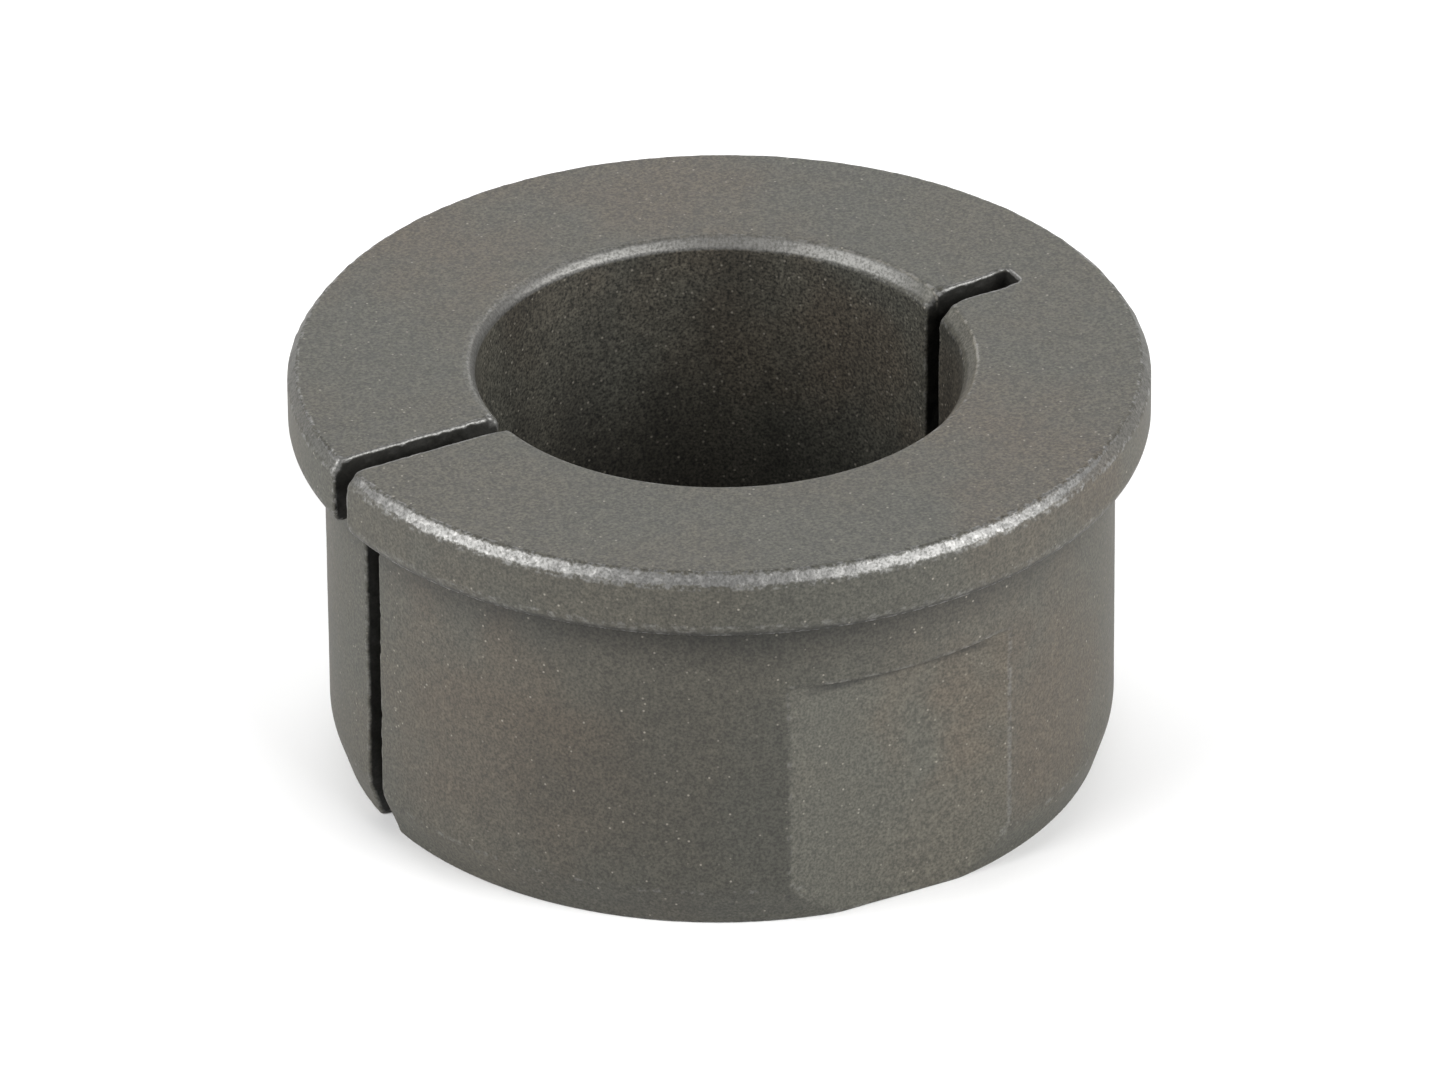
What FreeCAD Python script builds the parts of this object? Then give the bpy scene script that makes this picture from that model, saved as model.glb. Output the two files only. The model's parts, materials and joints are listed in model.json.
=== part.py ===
"""Split flanged clamping bushing, blackened steel.

The bushing is a flanged ring. One saw cut goes right through its wall on the -X side. A second, blind cut opposite it,
on the +X side, stops short of the outside and leaves a thin web that bends when the ring is clamped. A set-screw flat
is milled on the -Y side of the body.

The ring is divided in the middle plane of the two cuts into the two jaws that swing about the web.

Frame: Z is the bore axis, with the flange up. The origin is on the axis, at the lower end face. Millimetres.
"""

import FreeCAD, Part
import os

os.makedirs("parts", exist_ok=True)

INCH = 25.4

# Turned sizes.
body_diameter = 1.625 * INCH
bore_diameter = 1.0 * INCH
total_length = 0.875 * INCH
flange_diameter = 44.96
flange_thickness = 3.7

# Edge breaks, radial by axial.
flange_top_chamfer = (0.46, 0.62)
flange_lower_chamfer = (0.31, 0.5)
lead_in_chamfer = (0.74, 2.25)
bore_top_chamfer = (0.54, 0.66)
bore_lower_chamfer = (0.5, 0.5)

# Saw cuts.
cut_width = 1.37
web_inner_radius = 17.75

# Set-screw flat.
flat_depth = 1.03
flat_shoulder_height = 14.25

# Amount by which a cutter stands past the metal that it removes.
cutter_margin = 3.0

body_radius = body_diameter / 2
bore_radius = bore_diameter / 2
flange_radius = flange_diameter / 2
flange_underside = total_length - flange_thickness


def ring():
    """The turned blank: its half section, swept once round the Z axis.

    The body's wall is two faces, one above and one below the flat's shoulder, so that the flat divides only the lower.
    """
    section = [
        (bore_radius + bore_lower_chamfer[0], 0),
        (body_radius - lead_in_chamfer[0], 0),
        (body_radius, lead_in_chamfer[1]),
        (body_radius, flat_shoulder_height),
        (body_radius, flange_underside),
        (flange_radius - flange_lower_chamfer[0], flange_underside),
        (flange_radius, flange_underside + flange_lower_chamfer[1]),
        (flange_radius, total_length - flange_top_chamfer[1]),
        (flange_radius - flange_top_chamfer[0], total_length),
        (bore_radius + bore_top_chamfer[0], total_length),
        (bore_radius, total_length - bore_top_chamfer[1]),
        (bore_radius, bore_lower_chamfer[1]),
    ]
    points = [FreeCAD.Vector(radius, 0, height) for radius, height in section]
    outline = Part.makePolygon(points + points[:1])
    axis_point = FreeCAD.Vector(0, 0, 0)
    axis_direction = FreeCAD.Vector(0, 0, 1)
    return Part.Face(outline).revolve(axis_point, axis_direction, 360)


def saw_cuts():
    """One straight saw path: in through the -X wall, across the bore, and into the +X wall as far as the web."""
    start_x = -flange_radius - cutter_margin
    length_x = web_inner_radius - start_x
    height = total_length + 2 * cutter_margin
    corner = FreeCAD.Vector(start_x, -cut_width / 2, -cutter_margin)
    return Part.makeBox(length_x, cut_width, height, corner)


def flat_cutter():
    """The metal outside the set-screw flat, from below the lower end up to the flat's level shoulder."""
    depth = flat_depth + cutter_margin
    height = flat_shoulder_height + cutter_margin
    corner = FreeCAD.Vector(-body_radius, -body_radius - cutter_margin, -cutter_margin)
    return Part.makeBox(2 * body_radius, depth, height, corner)


def half_space(side):
    """A block that covers everything on one side of the middle plane of the cuts: side is +1 or -1 along Y."""
    reach = flange_radius + cutter_margin
    height = total_length + 2 * cutter_margin
    low_y = 0 if side > 0 else -reach
    corner = FreeCAD.Vector(-reach, low_y, -cutter_margin)
    return Part.makeBox(2 * reach, reach, height, corner)


def rear_jaw(bushing):
    return bushing.common(half_space(+1))


def front_jaw(bushing):
    return bushing.common(half_space(-1))


def save(name, shape):
    """Writes a sub-part as one solid in its own file."""
    solid = shape.Solids[0]
    solid.exportStep("parts/" + name + ".step")
    print(name, "volume", round(solid.Volume, 2), "valid", solid.isValid(), "solids", len(shape.Solids))


bushing = ring().cut(saw_cuts()).cut(flat_cutter())
save("rear_jaw", rear_jaw(bushing))
save("front_jaw", front_jaw(bushing))
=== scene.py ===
import json
import math

import bpy
import numpy as np
from mathutils import Matrix, Vector


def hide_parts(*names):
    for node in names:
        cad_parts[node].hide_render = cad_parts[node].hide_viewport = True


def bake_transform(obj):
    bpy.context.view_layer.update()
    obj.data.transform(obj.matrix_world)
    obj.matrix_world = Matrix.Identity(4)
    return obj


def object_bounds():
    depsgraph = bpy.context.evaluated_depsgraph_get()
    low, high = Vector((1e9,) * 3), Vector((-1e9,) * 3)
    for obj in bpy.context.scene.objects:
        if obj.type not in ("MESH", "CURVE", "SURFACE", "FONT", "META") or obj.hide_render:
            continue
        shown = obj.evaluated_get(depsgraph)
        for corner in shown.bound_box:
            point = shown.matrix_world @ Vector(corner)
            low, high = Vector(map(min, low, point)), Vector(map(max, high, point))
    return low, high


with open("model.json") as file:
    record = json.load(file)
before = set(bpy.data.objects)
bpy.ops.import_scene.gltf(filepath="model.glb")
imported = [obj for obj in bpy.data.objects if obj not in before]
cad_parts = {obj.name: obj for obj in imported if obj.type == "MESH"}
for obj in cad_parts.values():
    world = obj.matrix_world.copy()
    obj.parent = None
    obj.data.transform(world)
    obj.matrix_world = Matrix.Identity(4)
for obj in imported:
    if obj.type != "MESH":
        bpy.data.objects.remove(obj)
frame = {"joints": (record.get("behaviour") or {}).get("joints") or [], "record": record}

CAD_LOW, CAD_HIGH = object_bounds()
MM = 0.001

# ----------------------------------------------------------------------------------------------------
# Sizes, in millimetres
# ----------------------------------------------------------------------------------------------------

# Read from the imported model.
MOUNTS = {mount["name"]: mount for mount in frame["record"]["mounts"]}
HINGE = frame["joints"][0]

LENGTH = CAD_HIGH.z / MM
FLANGE_R = CAD_HIGH.x / MM
BODY_R = MOUNTS["outside_diameter"]["dims"]["r_mm"]
BORE_R = MOUNTS["bore"]["dims"]["r_mm"]
UNDERSIDE = MOUNTS["flange_seat"]["pos_m"][2] / MM
FLAT_Y = MOUNTS["set_screw_flat"]["pos_m"][1] / MM
WEB_X = HINGE["pos_m"][0] / MM

# Edge breaks that the record doesn't state, radial by axial. The bore's upper one is turned off centre.
TOP_BREAK = (0.46, 0.62)
LOWER_BREAK = (0.31, 0.5)
LEAD_IN = (0.74, 2.25)
BORE_BREAK = (0.5, 0.5)
TOP_BORE_BREAK = (0.54, 0.66)
BREAK_CENTRE = (0.14, -0.16)

# The saw cuts are one path, off the middle plane. The turn and the lean are sideways steps per step along.
CUT_WIDTH = 1.37
CUT_OFFSET = -0.175
CUT_TURN = 0.005
CUT_LEAN = 0.014
CUT_END_ROUND = 0.28
# Over its last stretch the blade runs off line, and the cut grows wider on each side.
CUT_DRIFT = 0.26
CUT_DRIFT_RUN = 1.7
CUT_SPREAD = 0.08
# The blade leaves a slow wander and a quick chatter.
CUT_WANDER = 0.05
CUT_CHATTER = 0.04

# The set-screw flat isn't quite square to the cuts.
FLAT_TURN = math.radians(-0.9)
FLAT_ROOT_Z = 14.25
FLAT_FILLET = 0.2

# Roundings of the turned and milled edges.
LEAD_IN_ROUND = 0.15
FLANGE_TOP_ROUND = 0.10
FLANGE_LOWER_ROUND = 0.12
FLANGE_SIDE_ROUND = 0.16
FLANGE_FILLET = 0.25
BORE_ROUND = 0.10
BORE_BREAK_ROUND = 0.14
FLAT_SIDE_ROUND = 0.08
UPPER_FACE_ROUND = 0.07
LOWER_FACE_ROUND = 0.10

# Roundings of the cuts' lips: everywhere, and what is added in some places.
LIP_ROUND = 0.09
LIP_ROUND_AT_RIM = 0.34
LIP_ROUND_AT_FOOT = 0.70
LIP_ROUND_AT_SLOT_MOUTH = 0.65
LIP_ROUND_AT_SLIT_MOUTH = 0.30
LIP_CHIPS = 0.04

# What the blasting and the wear take off: along the flange's upper break, in wide lumps and in small dents.
BREAK_CHIPS = 0.03
SURFACE_LUMPS = 0.005
SURFACE_DENTS = 0.003

# ----------------------------------------------------------------------------------------------------
# The bushing's shape as a distance function: negative inside the metal
# ----------------------------------------------------------------------------------------------------


def round_max(a, b, radius):
    """The intersection of two solids, with the edge between them rounded."""
    corner = np.hypot(np.maximum(a + radius, 0), np.maximum(b + radius, 0))
    return np.minimum(np.maximum(a, b), -radius) + corner


def round_min(a, b, radius):
    """The union of two solids, with a fillet in the corner between them."""
    return -round_max(-a, -b, radius)


def slope(r, z, at, normal):
    """The distance to a cone's wall that passes through the section point at, with that section normal."""
    size = math.hypot(*normal)
    return ((r - at[0]) * normal[0] + (z - at[1]) * normal[1]) / size


def smooth_step(low, high, value):
    t = np.clip((value - low) / (high - low), 0, 1)
    return t * t * (3 - 2 * t)


class Lumps:
    """Smooth random lumps on a repeating lattice, between about -1 and 1."""

    # Keeps every place on the lattice positive.
    SHIFT = 1000.0

    def __init__(self, seed, pitch, count=64):
        self.values = np.random.default_rng(seed).uniform(-1, 1, (count,) * 3).astype(np.float32)
        self.pitch = pitch
        self.count = count

    def __call__(self, x, y, z):
        cells, shares = [], []
        for v in (x, y, z):
            at = v / self.pitch + self.SHIFT
            low = np.floor(at)
            cells.append(low.astype(np.int64) % self.count)
            shares.append(smooth_step(0, 1, at - low))
        total = 0
        for i, j, k in np.ndindex(2, 2, 2):
            share = (
                (shares[0] if i else 1 - shares[0])
                * (shares[1] if j else 1 - shares[1])
                * (shares[2] if k else 1 - shares[2])
            )
            near = [(cell + step) % self.count for cell, step in zip(cells, (i, j, k))]
            total = total + share * self.values[near[0], near[1], near[2]]
        return total


class Bushing:
    """The distance to the bushing's surface. What is uneven only takes metal off, so it stays in its box."""

    def __init__(self):
        self.saw_wander = Lumps(11, 2.6)
        self.saw_chatter = Lumps(12, 0.40)
        self.edge_chips = Lumps(13, 0.45)
        self.surface = Lumps(14, 1.9)
        self.dents = Lumps(15, 0.6)

    def turned(self, r, z, chips=0.0):
        """The outside: the body with its lead-in, and the flange with its two breaks."""
        lead_in = slope(r, z, (BODY_R, LEAD_IN[1]), (LEAD_IN[1], -LEAD_IN[0]))
        body = round_max(r - BODY_R, lead_in, LEAD_IN_ROUND)
        top_break = slope(r, z, (FLANGE_R, LENGTH - TOP_BREAK[1]), (TOP_BREAK[1], TOP_BREAK[0])) + chips
        lower_at = (FLANGE_R, UNDERSIDE + LOWER_BREAK[1])
        lower_break = slope(r, z, lower_at, (LOWER_BREAK[1], -LOWER_BREAK[0]))
        lower_side = round_max(lower_break, UNDERSIDE - z, FLANGE_LOWER_ROUND)
        flange = round_max(r - FLANGE_R, top_break, FLANGE_TOP_ROUND)
        flange = round_max(flange, lower_side, FLANGE_SIDE_ROUND)
        return round_min(body, flange, FLANGE_FILLET)

    def bore(self, x, y, z):
        """The metal left around the bore and its two breaks."""
        r = np.hypot(x, y)
        off_centre = np.hypot(x - BREAK_CENTRE[0], y - BREAK_CENTRE[1])
        upper_at = (BORE_R, LENGTH - TOP_BORE_BREAK[1])
        upper = slope(off_centre, z, upper_at, (-TOP_BORE_BREAK[1], TOP_BORE_BREAK[0]))
        lower = slope(r, z, (BORE_R, BORE_BREAK[1]), (-BORE_BREAK[1], -BORE_BREAK[0]))
        return round_max(round_max(BORE_R - r, upper, BORE_ROUND), lower, BORE_ROUND)

    def cuts(self, x, y, z, wander=0.0, chatter=0.0):
        """The two saw cuts, as one path that stops at the web."""
        centre = CUT_OFFSET + CUT_TURN * x + CUT_LEAN * (LENGTH - z) + CUT_WANDER * wander
        centre = centre + CUT_DRIFT * smooth_step(WEB_X - CUT_DRIFT_RUN, WEB_X, x)
        half = CUT_WIDTH / 2 + CUT_SPREAD * smooth_step(BORE_R + 2.0, WEB_X - 1.0, x) + CUT_CHATTER * chatter
        return round_max(np.abs(y - centre) - half, x - WEB_X, CUT_END_ROUND)

    def flat(self, x, y, z):
        """The metal left by the flat: negative where it stays."""
        depth = FLAT_Y - (y * math.cos(FLAT_TURN) - x * math.sin(FLAT_TURN))
        return round_min(depth, FLAT_ROOT_Z - z, FLAT_FILLET)

    def rough(self, x, y, z):
        """A quick distance, near enough to find where the surface runs."""
        r = np.hypot(x, y)
        solid = np.maximum(self.turned(r, z), self.flat(x, y, z))
        solid = np.maximum(solid, np.maximum(z - LENGTH, -z))
        return np.maximum(np.maximum(solid, self.bore(x, y, z)), -self.cuts(x, y, z))

    def blank(self, x, y, z, chips=0.0):
        """The bushing before it is sawn."""
        r = np.hypot(x, y)
        turned = self.turned(r, z, BREAK_CHIPS * (1 + chips))
        solid = round_max(turned, self.flat(x, y, z), FLAT_SIDE_ROUND)
        solid = round_max(solid, z - LENGTH, UPPER_FACE_ROUND)
        solid = round_max(solid, -z, LOWER_FACE_ROUND)
        return round_max(solid, self.bore(x, y, z), BORE_BREAK_ROUND)

    def lip_round(self, x, y, z, chips):
        """The rounding of the cuts' lips, which differs from place to place."""
        r = np.hypot(x, y)
        near_top = smooth_step(1.4, 0, LENGTH - z)
        at_rim = smooth_step(-1.3, 0.1, r - FLANGE_R) * near_top
        at_foot = smooth_step(3.0, 0.3, z) * smooth_step(-1.8, -0.5, r - BODY_R) * smooth_step(1.5, -0.7, y)
        at_bore = smooth_step(2.0, 0, r - BORE_R) * near_top
        mouth = np.where(x > 0, LIP_ROUND_AT_SLOT_MOUTH, LIP_ROUND_AT_SLIT_MOUTH)
        added = LIP_ROUND_AT_RIM * at_rim + LIP_ROUND_AT_FOOT * at_foot + mouth * at_bore
        return LIP_ROUND + added + LIP_CHIPS * chips

    def __call__(self, x, y, z):
        chips = self.edge_chips(x, y, z)
        cuts = self.cuts(x, y, z, self.saw_wander(x, 0 * y, z), self.saw_chatter(x, 0 * y, z))
        solid = round_max(self.blank(x, y, z, chips), -cuts, self.lip_round(x, y, z, chips))
        lumps = SURFACE_LUMPS * (1 + self.surface(x, y, z))
        dents = SURFACE_DENTS * (1 + self.dents(x, y, z))
        return solid + lumps + dents


# ----------------------------------------------------------------------------------------------------
# From the distance function to a mesh
# ----------------------------------------------------------------------------------------------------

PITCH = 0.15

# The exact distance is only worked out where the quick one is smaller than this.
NEAR_SURFACE = 0.7


def sampled(shape, axes):
    """The distance at every point of a grid. Far from the surface only its sign and rough size matter."""
    field = np.empty([len(axis) for axis in axes], np.float32)
    x, y = np.meshgrid(axes[0], axes[1], indexing="ij")
    for k, height in enumerate(axes[2]):
        z = np.full_like(x, height)
        layer = shape.rough(x, y, z)
        near = np.abs(layer) < NEAR_SURFACE
        layer[near] = shape(x[near], y[near], z[near])
        field[:, :, k] = layer
    return field


def surface_mesh(shape, low, high, pitch):
    """A closed quad mesh of the surface: a point in each cell that it crosses, a face for each grid edge."""
    counts = np.ceil((high - low) / pitch).astype(int) + 1
    field = sampled(shape, [low[i] + pitch * np.arange(counts[i]) for i in range(3)])
    strides = np.array([counts[1] * counts[2], counts[2], 1])
    crossings, rings = [], []
    for axis in range(3):
        ahead = [slice(None)] * 3
        behind = [slice(None)] * 3
        ahead[axis], behind[axis] = slice(1, None), slice(None, -1)
        start, end = field[tuple(behind)], field[tuple(ahead)]
        crossed = (start < 0) != (end < 0)
        at = np.argwhere(crossed)
        u, v = strides[[i for i in range(3) if i != axis]]
        ring = (at @ strides)[:, None] - np.array([0, v, u + v, u])
        turned_over = (start[crossed] < 0) != (axis == 1)
        ring[turned_over] = ring[turned_over][:, ::-1]
        point = at.astype(float)
        point[:, axis] += start[crossed] / (start[crossed] - end[crossed])
        crossings.append(point)
        rings.append(ring)
    cells, faces = np.unique(np.concatenate(rings), return_inverse=True)
    faces = faces.reshape(-1, 4)
    crossings = np.repeat(np.concatenate(crossings), 4, axis=0)
    shares = np.bincount(faces.ravel(), minlength=len(cells))
    sums = [np.bincount(faces.ravel(), crossings[:, i]) for i in range(3)]
    points = np.stack(sums, axis=1) / shares[:, None] * pitch + low
    return settled(shape, points, pitch), faces


def gradient(shape, points, step=0.01):
    columns = []
    for axis in range(3):
        shift = np.zeros(3)
        shift[axis] = step
        columns.append(shape(*(points + shift).T) - shape(*(points - shift).T))
    return np.stack(columns, axis=1) / (2 * step)


def settled(shape, points, pitch):
    """The points moved onto the surface itself, by two steps down the distance's slope."""
    longest_step = 0.4 * pitch
    smallest_slope = 0.05
    for _ in range(2):
        rise = gradient(shape, points)
        size = np.maximum((rise**2).sum(axis=1), smallest_slope)
        step = rise * (shape(*points.T) / size)[:, None]
        length = np.linalg.norm(step, axis=1, keepdims=True)
        points = points - step * np.minimum(1, longest_step / np.maximum(length, 1e-9))
    return points


def mesh_object(name, points, faces):
    mesh = bpy.data.meshes.new(name)
    mesh.vertices.add(len(points))
    mesh.vertices.foreach_set("co", (points * MM).astype(np.float32).ravel())
    mesh.loops.add(faces.size)
    mesh.loops.foreach_set("vertex_index", faces.astype(np.int32).ravel())
    mesh.polygons.add(len(faces))
    mesh.polygons.foreach_set("loop_start", np.arange(0, faces.size, faces.shape[1], dtype=np.int32))
    mesh.polygons.foreach_set("loop_total", np.full(len(faces), faces.shape[1], np.int32))
    mesh.update(calc_edges=True)
    mesh.validate()
    item = bpy.data.objects.new(name, mesh)
    bpy.context.scene.collection.objects.link(item)
    return item


def store(mesh, name, values):
    attribute = mesh.attributes.new(name, "FLOAT", "POINT")
    attribute.data.foreach_set("value", values.astype(np.float32))


def surface_facts(shape, mesh):
    """Attributes that the material reads: the place at rest, how sharp the edge is, and the depths below
    the body's wall and inside a cut."""
    points = np.empty(len(mesh.vertices) * 3, np.float32)
    mesh.vertices.foreach_get("co", points)
    points = points.reshape(-1, 3).astype(float) / MM
    place = mesh.attributes.new("place_mm", "FLOAT_VECTOR", "POINT")
    place.data.foreach_set("vector", points.astype(np.float32).ravel())
    reach = 0.22
    sharpest = 1.5
    bend = -6 * shape(*points.T)
    for axis in range(3):
        for side in (-reach, reach):
            shift = np.zeros(3)
            shift[axis] = side
            bend = bend + shape(*(points + shift).T)
    store(mesh, "edge", np.clip(bend / reach, 0, sharpest))
    x, y, z = points.T
    store(mesh, "flat_depth", BODY_R - np.hypot(x, y))
    store(mesh, "depth", np.maximum(-shape.blank(x, y, z), 0))


def smooth_shaded(mesh):
    mesh.polygons.foreach_set("use_smooth", np.ones(len(mesh.polygons), bool))
    mesh.update()


# ----------------------------------------------------------------------------------------------------
# Materials
# ----------------------------------------------------------------------------------------------------

OLIVE_OXIDE = (0.0525, 0.0512, 0.0410, 1)
GREY_OXIDE = (0.0565, 0.0525, 0.0408, 1)
BROWN_STAIN = (0.068, 0.0515, 0.0355, 1)
LIGHT_SPECK = (0.26, 0.24, 0.20, 1)
DULL_METAL = (0.155, 0.154, 0.148, 1)
CLEAN_METAL = (0.215, 0.213, 0.206, 1)
# Painted highlight: the lightest bare metal, laid in patches on the flange's worn band.
PAINTED_HIGHLIGHT_METAL = (0.29, 0.286, 0.277, 1)

# Faint brown stains: turn about the axis in degrees, distance from it, height and size.
STAINS = [
    (299, BODY_R, 8, 9),
    (279, BODY_R, 11, 6),
    (208, BODY_R, 10, 11),
    (71, 19, LENGTH, 10),
    (112, 19.5, LENGTH, 9),
    (299, 18.5, LENGTH, 10),
    (32, BORE_R, 17, 8),
    (345, BORE_R, 14, 8),
]
STAIN_STRENGTH = 0.50
# How far the outlines of the stains and of the shade wander.
DRIFT_REACH = 14.0

# Painted shade: the wall is darker round this place, in front.
SHADE_CENTRE = (-11.5, -17.1, 7.5)
SHADE_REACH = 15.0
SHADE_CORE = 3.0

# The direction in which the flange's upper break is worn over its full width.
WORN_SIDE = (-0.48, -0.877)

# How strongly the grain varies the tone in each zone.
WALL_GRAIN = 0.44
UPPER_FACE_GRAIN = 0.58
BORE_GRAIN = 0.85

# What each dark or light zone makes of the oxide's tone.
# Painted shade in the corner under the flange.
CORNER_SHADE_TONE = 0.43
SAW_CUT_TONE = 0.22
# Painted shade down the bore, deepest at its foot. The bore's upper wall is darker partly for its oily finish
# and partly as painted shade.
BORE_FOOT_SHADE_TONE = 0.48
BORE_FINISH_AND_SHADE_TONE = 0.79
FRONT_BORE_TONE = 0.84
# Painted shadow, in a thin line under the flat's shoulder.
SHOULDER_SHADOW_TONE = 0.45
# Painted shade on the front of the wall.
SHADE_TONE = 0.78
# The flat is lighter partly for its milled finish and partly as painted light.
FLAT_FINISH_AND_LIGHT_TONE = 1.20
BORE_BREAK_TONE = 1.6

# How far each kind of wear goes towards bare metal.
FAINT_WEAR = 0.40
RIM_WEAR = 0.80
TURNED_LINE_WEAR = 0.40
LIP_WEAR = 0.95
OXIDE_LEFT = 0.35
BREAK_LINE_STRENGTH = 0.6
SPECK_STRENGTH = 0.8


class Graph:
    """A material's nodes, made by short calls. An input is a number, a colour or another node's output."""

    def __init__(self, name):
        self.material = bpy.data.materials.new(name)
        self.material.use_nodes = True
        self.tree = self.material.node_tree
        self.tree.nodes.clear()

    def node(self, kind, inputs=(), **settings):
        made = self.tree.nodes.new(kind)
        for key, value in settings.items():
            setattr(made, key, value)
        for key, value in dict(inputs).items():
            self.feed(made.inputs[key], value)
        return made

    def feed(self, socket, value):
        if isinstance(value, bpy.types.NodeSocket):
            self.tree.links.new(value, socket)
        elif value is not None:
            socket.default_value = value

    def math(self, operation, a, b=None):
        made = self.node("ShaderNodeMath", operation=operation)
        self.feed(made.inputs[0], a)
        self.feed(made.inputs[1], b)
        return made.outputs[0]

    def chain(self, operation, first, others):
        for other in others:
            first = self.math(operation, first, other)
        return first

    def times(self, first, *others):
        return self.chain("MULTIPLY", first, others)

    def plus(self, first, *others):
        return self.chain("ADD", first, others)

    def largest(self, first, *others):
        return self.chain("MAXIMUM", first, others)

    def smallest(self, first, *others):
        return self.chain("MINIMUM", first, others)

    def minus(self, a, b):
        return self.math("SUBTRACT", a, b)

    def over(self, a, b):
        return self.math("DIVIDE", a, b)

    def size(self, value):
        return self.math("ABSOLUTE", value)

    def length(self, a, b):
        """The length of a step of a one way and b across it."""
        return self.math("SQRT", self.plus(self.times(a, a), self.times(b, b)))

    def attribute(self, name, output="Fac"):
        return self.node("ShaderNodeAttribute", attribute_name=name).outputs[output]

    def parts(self, vector):
        """The three parts of a vector or a colour."""
        return self.node("ShaderNodeSeparateXYZ", {0: vector}).outputs[:]

    def joined(self, x, y, z):
        return self.node("ShaderNodeCombineXYZ", {0: x, 1: y, 2: z}).outputs[0]

    def vector_math(self, operation, a, b):
        return self.node("ShaderNodeVectorMath", {0: a, 1: b}, operation=operation)

    def distance(self, a, b):
        return self.vector_math("DISTANCE", a, b).outputs["Value"]

    def scaled(self, colour, factor):
        made = self.node("ShaderNodeVectorMath", {0: colour}, operation="SCALE")
        self.feed(made.inputs["Scale"], factor)
        return made.outputs[0]

    def noise(self, place, scale, detail=2.0, roughness=0.5, output="Fac"):
        inputs = {"Vector": place, "Scale": scale, "Detail": detail, "Roughness": roughness}
        return self.node("ShaderNodeTexNoise", inputs).outputs[output]

    def mapped(self, value, from_range, to_range, **settings):
        made = self.node("ShaderNodeMapRange", **settings)
        self.feed(made.inputs["Value"], value)
        for end, given in (("Min", 0), ("Max", 1)):
            self.feed(made.inputs["From " + end], from_range[given])
            self.feed(made.inputs["To " + end], to_range[given])
        return made.outputs["Result"]

    def step(self, value, low, high):
        """From 0 at low to 1 at high, smoothly."""
        return self.mapped(value, (low, high), (0.0, 1.0), interpolation_type="SMOOTHSTEP")

    def span(self, value, low, high):
        """A value of 0 to 1 spread evenly from low to high."""
        return self.mapped(value, (0.0, 1.0), (low, high))

    def mix(self, share, a, b, kind="MIX"):
        made = self.node("ShaderNodeMix", data_type="RGBA", blend_type=kind)
        self.feed(made.inputs["Factor"], share)
        self.feed(made.inputs[6], a)
        self.feed(made.inputs[7], b)
        return made.outputs[2]

    def blend(self, share, a, b):
        made = self.node("ShaderNodeMix", data_type="FLOAT")
        self.feed(made.inputs[0], share)
        self.feed(made.inputs[2], a)
        self.feed(made.inputs[3], b)
        return made.outputs[0]

    def finish(self, shader):
        out = self.node("ShaderNodeOutputMaterial")
        self.tree.links.new(shader.outputs[0], out.inputs["Surface"])
        return self.material


class Steel(Graph):
    """The blackened steel's graph, with the places, zones and noises that its layers share."""

    def __init__(self, name):
        super().__init__(name)
        self.place = self.attribute("place_mm", "Vector")
        self.x, self.y, self.z = self.parts(self.place)
        self.r = self.length(self.x, self.y)
        self.in_bore = self.step(self.r, BORE_R + 0.12, BORE_R + 0.02)
        self.saw_cut = self.step(self.attribute("depth"), 0.05, 0.22)
        self.near_top = self.step(self.z, LENGTH - 1.2, LENGTH - 0.3)
        self.grain = self.noise(self.place, 6.5, 2.0, 0.6)
        self.coarse = self.noise(self.place, 2.1, 3.0, 0.6)
        self.ragged = self.times(self.minus(self.noise(self.place, 3.2, 4.0, 0.75), 0.5), 0.50)
        drift = self.noise(self.place, 0.20, 1.5, output="Color")
        drift = self.vector_math("SUBTRACT", drift, (0.5, 0.5, 0.5)).outputs[0]
        self.drifted = self.vector_math("ADD", self.place, self.scaled(drift, DRIFT_REACH)).outputs[0]
        self.mark_flat()

    def mark_flat(self):
        """The milled face, and the thin stretches along its sides."""
        along = self.times(self.y, math.cos(FLAT_TURN))
        outward = self.minus(along, self.times(self.x, math.sin(FLAT_TURN)))
        below_shoulder = self.step(self.z, FLAT_ROOT_Z + 0.3, FLAT_ROOT_Z)
        on_flat = self.times(self.step(outward, FLAT_Y + 0.08, FLAT_Y + 0.03), below_shoulder)
        self.flat_depth = self.attribute("flat_depth")
        self.milled = self.times(on_flat, self.step(self.flat_depth, 0.0, 0.06))
        self.flat_side = self.times(on_flat, self.step(self.flat_depth, 0.08, 0.02))


def oxide_tone(g):
    """Olive and grey clouds, brown stains, smudges down the bore, and grain over all of it."""
    clouds = g.noise(g.place, 0.10, 3.0, 0.55)
    oxide = g.mix(g.step(clouds, 0.38, 0.62), OLIVE_OXIDE, GREY_OXIDE)
    stained = 0.0
    for turn, radius, height, size in STAINS:
        angle = math.radians(turn)
        centre = (radius * math.cos(angle), radius * math.sin(angle), height)
        stained = g.largest(stained, g.step(g.distance(g.drifted, centre), size, 0.15 * size))
    oxide = g.mix(g.times(stained, STAIN_STRENGTH), oxide, BROWN_STAIN)

    around = g.times(g.math("ARCTAN2", g.y, g.x), BODY_R)
    smudges = g.noise(g.joined(g.times(around, 0.17), g.r, g.times(g.z, 0.10)), 1.0, 2.0, 0.5)
    oxide = g.scaled(oxide, g.blend(g.in_bore, 1.0, g.span(g.step(smudges, 0.3, 0.7), 0.80, 1.22)))
    oxide = g.scaled(oxide, g.span(g.step(g.coarse, 0.25, 0.75), 0.81, 1.19))
    on_top = g.step(g.z, LENGTH - 0.15, LENGTH - 0.05)
    contrast = g.blend(g.in_bore, g.blend(on_top, WALL_GRAIN, UPPER_FACE_GRAIN), BORE_GRAIN)
    spotted = g.times(g.span(g.step(g.grain, 0.25, 0.75), -1.0, 1.0), contrast)
    return g.scaled(oxide, g.plus(spotted, 1.03))


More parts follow.
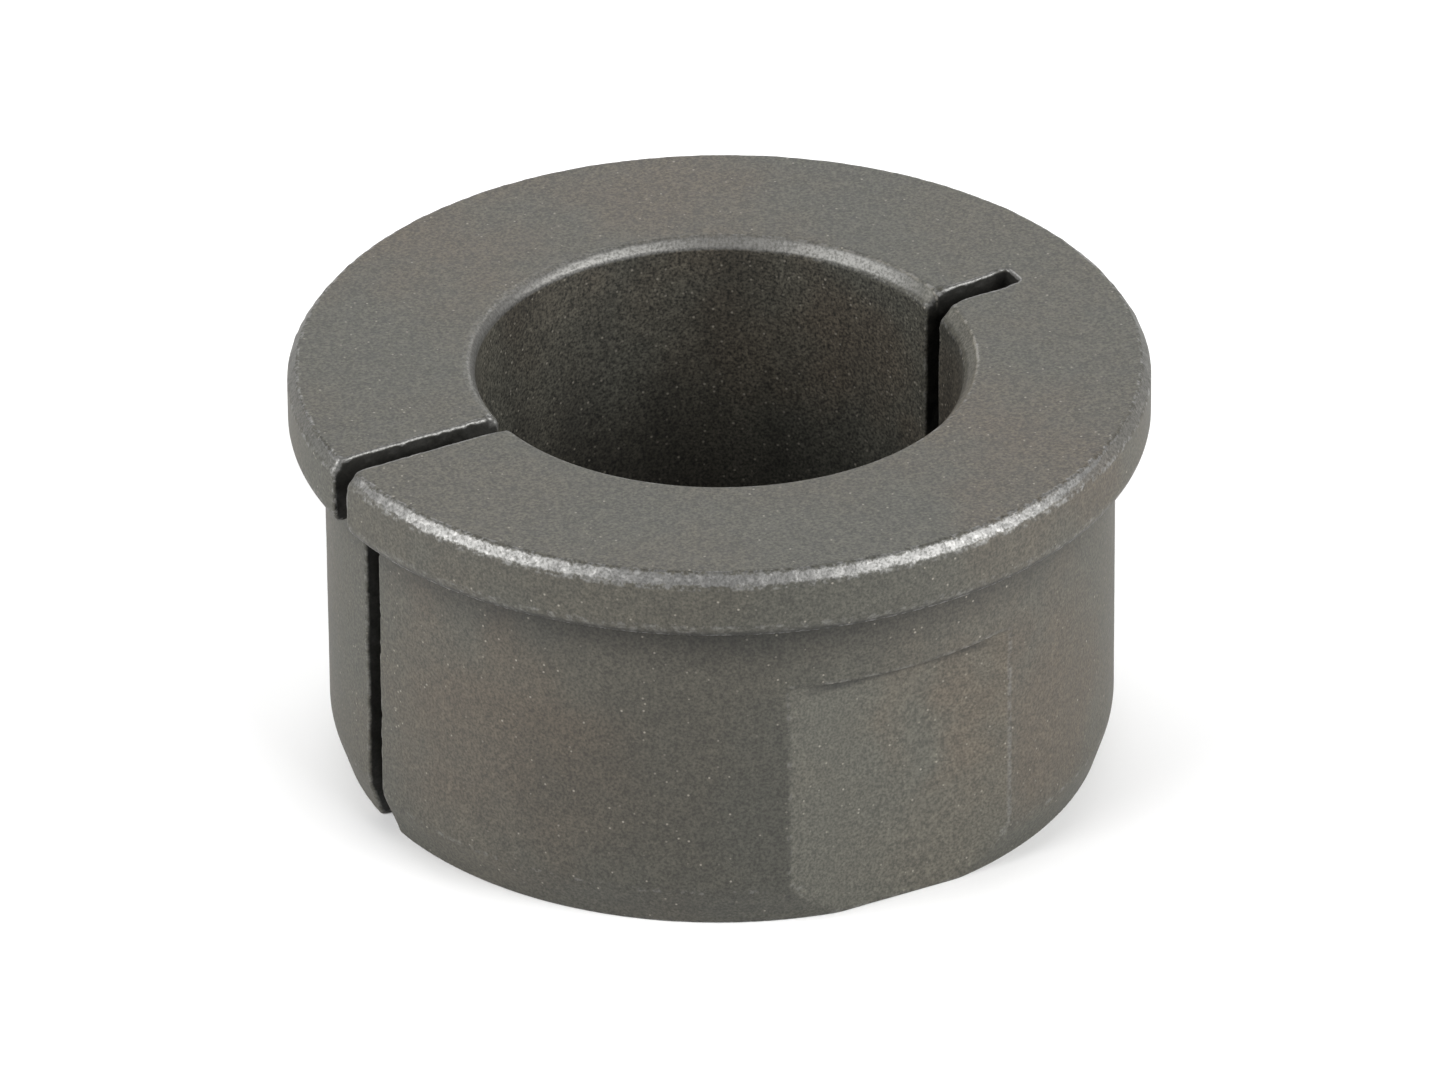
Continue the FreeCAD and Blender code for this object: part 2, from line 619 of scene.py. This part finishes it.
def painted_shade_and_zone_tone(g):
    """Painted shade and the zones' own tones. Painted shade darkens the corner under the flange, a thin line
    under the flat's shoulder, the bore towards its foot and a place on the front of the wall. The bore is
    also darker for its oily finish, its front part a little darker still, and the saw cuts are darker. The
    flat is a little lighter than the turned wall, partly for its milled finish and partly as painted light."""
    # Painted shade in the corner under the flange.
    under_flange = g.step(g.z, UNDERSIDE - 3.8, UNDERSIDE)
    below_side = g.step(g.z, UNDERSIDE + 0.5, UNDERSIDE + 0.2)
    corner = g.times(under_flange, below_side, g.step(g.r, BODY_R - 1.5, BODY_R - 1.2))
    tone = g.times(g.blend(corner, 1.0, CORNER_SHADE_TONE), g.blend(g.saw_cut, 1.0, SAW_CUT_TONE))
    # The bore: darker partly for its oily finish and partly as painted shade, most at its foot.
    bore_finish_and_shade = g.blend(g.step(g.z, 0.0, 15.0), BORE_FOOT_SHADE_TONE, BORE_FINISH_AND_SHADE_TONE)
    front_bore = g.times(g.in_bore, g.step(g.over(g.y, g.r), 0.0, -0.2))
    tone = g.times(tone, g.blend(g.in_bore, 1.0, bore_finish_and_shade), g.blend(front_bore, 1.0, FRONT_BORE_TONE))
    # Painted shadow in a thin line under the flat's shoulder.
    line = g.step(g.z, FLAT_ROOT_Z - 0.90, FLAT_ROOT_Z - 0.55)
    shoulder_shadow = g.times(g.milled, line, g.step(g.flat_depth, 0.1, 0.7))
    tone = g.times(tone, g.blend(shoulder_shadow, 1.0, SHOULDER_SHADOW_TONE))
    # Painted shade round a place on the front of the wall.
    shade = g.step(g.distance(g.drifted, SHADE_CENTRE), SHADE_REACH, SHADE_CORE)
    shade = g.times(shade, g.minus(1.0, g.milled))
    tone = g.times(tone, g.blend(shade, 1.0, SHADE_TONE))
    # The flat: lighter partly for its milled finish and partly as painted light.
    return g.times(tone, g.blend(g.milled, 1.0, FLAT_FINISH_AND_LIGHT_TONE))


def with_bore_break(g, oxide):
    """The bore's upper edge break is lighter. Near the blind slot a thin ragged line runs round it."""
    off_centre = g.length(g.minus(g.x, BREAK_CENTRE[0]), g.minus(g.y, BREAK_CENTRE[1]))
    past_break = g.minus(off_centre, BORE_R + TOP_BORE_BREAK[0])
    above_wall = g.step(g.z, LENGTH - TOP_BORE_BREAK[1], LENGTH - 0.5)
    on_break = g.times(g.step(past_break, 0.05, -0.05), above_wall)
    oxide = g.scaled(oxide, g.blend(on_break, 1.0, BORE_BREAK_TONE))
    line = g.times(g.step(g.size(past_break), 0.11, 0.02), g.near_top)
    line = g.times(line, g.step(g.over(g.x, g.r), 0.6, 0.9), g.step(g.coarse, 0.40, 0.56))
    return g.mix(g.times(line, BREAK_LINE_STRENGTH), oxide, LIGHT_SPECK)


def with_specks(g, oxide):
    """Light specks, left by the blasting. The bore has the most and the cuts have none."""
    cells = g.node("ShaderNodeTexVoronoi", {"Vector": g.place, "Scale": 2.2})
    rarest = g.blend(g.in_bore, 0.55, g.blend(g.step(g.z, 3.0, 15.0), 0.5, 0.0))
    chance = g.step(g.parts(cells.outputs["Color"])[0], rarest, 1.0)
    specks = g.step(cells.outputs["Distance"], g.blend(g.in_bore, 0.19, 0.22), 0.06)
    specks = g.times(specks, chance, g.minus(1.0, g.saw_cut))
    return g.mix(g.times(specks, SPECK_STRENGTH), oxide, LIGHT_SPECK)


def worn_flange_break(g):
    """Bare metal on the flange's upper break, with ragged borders. It is worn over the full width on one side
    and only along the upper edge on the other. Also the whole break, which is worn faintly all round."""
    facing = g.plus(g.times(g.x, WORN_SIDE[0]), g.times(g.y, WORN_SIDE[1]))
    width = g.blend(g.step(g.over(facing, g.r), 0.30, 0.74), 0.22, 1.0)
    below = g.minus(g.z, LENGTH)
    outside = g.plus(g.minus(g.r, FLANGE_R - TOP_BREAK[0]), g.ragged)
    worn_width = g.plus(below, g.times(width, TOP_BREAK[1]), g.ragged)
    full_width = g.plus(below, TOP_BREAK[1], g.ragged)
    band = g.step(g.smallest(worn_width, outside), -0.03, 0.10)
    faint = g.step(g.smallest(full_width, outside), -0.03, 0.10)
    return band, g.times(faint, FAINT_WEAR)


def worn_bore_break(g):
    """Bare metal on the bore's upper break, most of all at the back."""
    above = g.minus(g.z, LENGTH - TOP_BORE_BREAK[1])
    inside = g.minus(BORE_R + TOP_BORE_BREAK[0] + 0.1, g.r)
    below_face = g.minus(LENGTH - 0.02, g.z)
    rim = g.plus(g.smallest(above, inside, below_face), g.times(g.ragged, 0.4))
    towards_back = g.blend(g.step(g.over(g.y, g.r), 0.0, 0.3), 0.3, 1.0)
    return g.times(g.step(rim, -0.05, 0.12), towards_back, RIM_WEAR)


def worn_edges(g):
    """Thin bright lines along the other edges: clear on the lips of the cuts, specks everywhere else."""
    off_cut = g.size(g.minus(g.y, CUT_OFFSET))
    lips = g.times(g.step(off_cut, CUT_WIDTH / 2 + 0.5, CUT_WIDTH / 2 + 0.2), g.near_top)
    flange_foot = g.step(g.z, UNDERSIDE - 0.3, UNDERSIDE)
    lower = g.times(flange_foot, g.step(g.r, FLANGE_R - 0.8, FLANGE_R - 0.5))
    share = g.blend(g.largest(lower, g.times(g.near_top, 0.85)), 0.30, 0.9)
    specked = g.times(g.step(g.coarse, 0.46, 0.60), share)
    sharpness = g.plus(g.attribute("edge"), g.times(g.ragged, 1.6))
    line = g.step(sharpness, g.blend(lower, 0.50, 0.25), 0.95)
    return g.times(line, g.blend(lips, specked, LIP_WEAR))


def worn_turned_lines(g):
    """Broken lines round the top of the lead-in and along the flat's sides, least broken on the right."""
    near_lead_in = g.step(g.size(g.minus(g.z, LEAD_IN[1])), 0.20, 0.04)
    lead_in_line = g.times(near_lead_in, g.step(g.r, BODY_R - 0.3, BODY_R - 0.15))
    lead_in_line = g.times(lead_in_line, g.step(g.coarse, 0.48, 0.68))
    gaps = g.blend(g.step(g.x, -2.0, 2.0), 0.48, 0.36)
    flat_line = g.times(g.flat_side, g.step(g.coarse, gaps, g.plus(gaps, 0.20)))
    return g.times(g.largest(flat_line, lead_in_line), TURNED_LINE_WEAR)


def blackened_steel():
    """Fine blasted, blackened steel, worn to bare metal along its edges."""
    g = Steel("blackened_steel")
    oxide = g.scaled(oxide_tone(g), painted_shade_and_zone_tone(g))
    oxide = with_specks(g, with_bore_break(g, oxide))

    band, faint = worn_flange_break(g)
    worn = g.largest(band, faint, worn_bore_break(g), worn_edges(g), worn_turned_lines(g))
    left = g.times(g.step(g.grain, 0.48, 0.32), OXIDE_LEFT)
    worn = g.times(worn, g.minus(1.0, left))
    bare = g.mix(g.step(g.grain, 0.38, 0.66), DULL_METAL, CLEAN_METAL)
    # Painted highlights: patches of lighter bare metal on the worn band.
    painted_highlights = g.times(g.step(g.noise(g.place, 3.0, 2.0, 0.6), 0.54, 0.70), band)
    bare = g.mix(painted_highlights, bare, PAINTED_HIGHLIGHT_METAL)

    height = g.plus(g.times(g.grain, 0.7), g.times(g.coarse, 0.5))
    bump = g.node("ShaderNodeBump", {"Height": height, "Strength": 0.22, "Distance": 0.08 * MM})
    inputs = {
        "Base Color": g.mix(worn, oxide, bare),
        "Roughness": g.blend(worn, g.span(g.coarse, 0.52, 0.72), 0.46),
        "Metallic": g.blend(worn, 0.15, 0.85),
        "Normal": bump.outputs[0],
        "IOR": 1.5,
    }
    return g.finish(g.node("ShaderNodeBsdfPrincipled", inputs))


def pale_floor():
    g = Graph("pale_floor")
    place = g.node("ShaderNodeTexCoord").outputs["Object"]
    tone = g.span(g.noise(place, 3.0), 0.93, 0.95)
    inputs = {
        "Base Color": g.mix(1.0, (1, 1, 1, 1), tone, "MULTIPLY"),
        "Roughness": 0.9,
        "Specular IOR Level": 0.1,
    }
    return g.finish(g.node("ShaderNodeBsdfPrincipled", inputs))


# ----------------------------------------------------------------------------------------------------
# The bushing
# ----------------------------------------------------------------------------------------------------


def bushing():
    shape = Bushing()
    margin = 2.5 * PITCH
    low = np.array([-FLANGE_R - margin, -FLANGE_R - margin, -margin])
    high = np.array([FLANGE_R + margin, FLANGE_R + margin, LENGTH + margin])
    points, faces = surface_mesh(shape, low, high, PITCH)
    item = mesh_object("split_bushing", points, faces)
    surface_facts(shape, item.data)
    smooth_shaded(item.data)
    item.data.materials.append(blackened_steel())
    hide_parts("rear_jaw", "front_jaw")
    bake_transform(item)


# ----------------------------------------------------------------------------------------------------
# Floor, light and camera, in metres
# ----------------------------------------------------------------------------------------------------

FLOOR_HALF = 3.0

# The camera's place, as turns about the bushing, and the point that it looks at, below and to the right of
# the middle of the upper face.
AZIMUTH = math.radians(-28.7)
ELEVATION = math.radians(30.28)
ROLL = math.radians(-0.5)
DISTANCE = 0.762
LENS_MM = 366.5
SENSOR_MM = 36
AIM_BELOW = 0.00946
AIM_RIGHT = 0.00005

# Each softbox: azimuth from the camera's side, positive to its right, elevation, width and power.
SOFTBOXES = {
    "left_low_softbox": (-72, 16, 0.45, 3.0),
    "left_high_softbox": (-60, 40, 0.45, 3.1),
    "right_low_softbox": (72, 16, 0.45, 3.5),
    "right_high_softbox": (50, 34, 0.45, 3.5),
    "back_softbox": (180, 35, 0.9, 4.3),
}
SOFTBOX_DISTANCE = 0.7
SOFTBOX_HEIGHT = 0.4
STUDIO_GLOW = 0.12


def floor():
    size = FLOOR_HALF
    mesh = bpy.data.meshes.new("floor")
    corners = [(-size, -size, 0), (size, -size, 0), (size, size, 0), (-size, size, 0)]
    mesh.from_pydata(corners, [], [(0, 1, 2, 3)])
    item = bpy.data.objects.new("floor", mesh)
    bpy.context.scene.collection.objects.link(item)
    item.data.materials.append(pale_floor())


def softbox(name, azimuth, elevation, width, power):
    """An area light aimed at the bushing."""
    data = bpy.data.lights.new(name, "AREA")
    data.shape = "RECTANGLE"
    data.size = width
    data.size_y = SOFTBOX_HEIGHT
    data.energy = power
    item = bpy.data.objects.new(name, data)
    bpy.context.scene.collection.objects.link(item)
    turn = AZIMUTH + math.radians(azimuth)
    rise = math.radians(elevation)
    back = Vector((math.sin(turn) * math.cos(rise), -math.cos(turn) * math.cos(rise), math.sin(rise)))
    item.location = back * SOFTBOX_DISTANCE
    item.rotation_mode = "QUATERNION"
    item.rotation_quaternion = (-back).to_track_quat("-Z", "Y")


def lights():
    for name, settings in SOFTBOXES.items():
        softbox(name, *settings)
    world = bpy.data.worlds.new("studio")
    world.use_nodes = True
    background = world.node_tree.nodes["Background"]
    background.inputs["Color"].default_value = (1, 1, 1, 1)
    background.inputs["Strength"].default_value = STUDIO_GLOW
    bpy.context.scene.world = world


def camera():
    right = Vector((math.cos(AZIMUTH), math.sin(AZIMUTH), 0))
    level = Vector((-math.sin(AZIMUTH), math.cos(AZIMUTH), 0))
    up = level * math.sin(ELEVATION) + Vector((0, 0, math.cos(ELEVATION)))
    ahead = level * math.cos(ELEVATION) - Vector((0, 0, math.sin(ELEVATION)))
    tilted_right = right * math.cos(ROLL) + up * math.sin(ROLL)
    tilted_up = up * math.cos(ROLL) - right * math.sin(ROLL)
    aim = Vector((0, 0, LENGTH * MM)) - tilted_up * AIM_BELOW + tilted_right * AIM_RIGHT
    data = bpy.data.cameras.new("camera")
    data.lens = LENS_MM
    data.sensor_width = SENSOR_MM
    data.clip_start, data.clip_end = 0.05, 20
    item = bpy.data.objects.new("camera", data)
    bpy.context.scene.collection.objects.link(item)
    place = Matrix((tilted_right, tilted_up, -ahead)).transposed().to_4x4()
    place.translation = aim - ahead * DISTANCE
    item.matrix_world = place
    bpy.context.scene.camera = item


bushing()
floor()
lights()
camera()
bpy.context.scene.view_settings.view_transform = "Standard"
